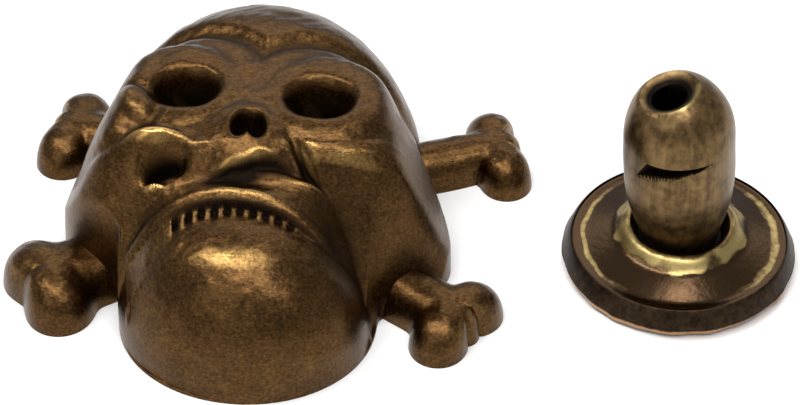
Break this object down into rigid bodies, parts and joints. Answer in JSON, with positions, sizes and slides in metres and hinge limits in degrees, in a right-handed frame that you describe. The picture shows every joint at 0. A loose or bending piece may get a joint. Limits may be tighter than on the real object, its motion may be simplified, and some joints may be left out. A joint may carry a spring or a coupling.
{
  "type": "skull rivet",
  "caption": "Two-part leather rivet: a cast skull and crossbones cap with a blind socket in its flat back, and its tubular post with a curled base cap.",
  "frame": {"origin": "mouth of the socket, on the flat back of the cap", "axes": "+Z out of the back through the face, +Y towards the crown of the skull, +X towards the post"},
  "size_m": [0.0235, 0.0142, 0.007],
  "materials": {
    "cap_bronze": "antiqued, satin",
    "post_brass": "antiqued, brushed, worn bright on edges",
    "base_brass": "antiqued, dark"
  },
  "bodies": {
    "root": {"skull_cap": "cap_bronze", "post": "post_brass", "base_cap": "base_brass"}
  },
  "joints": []
}
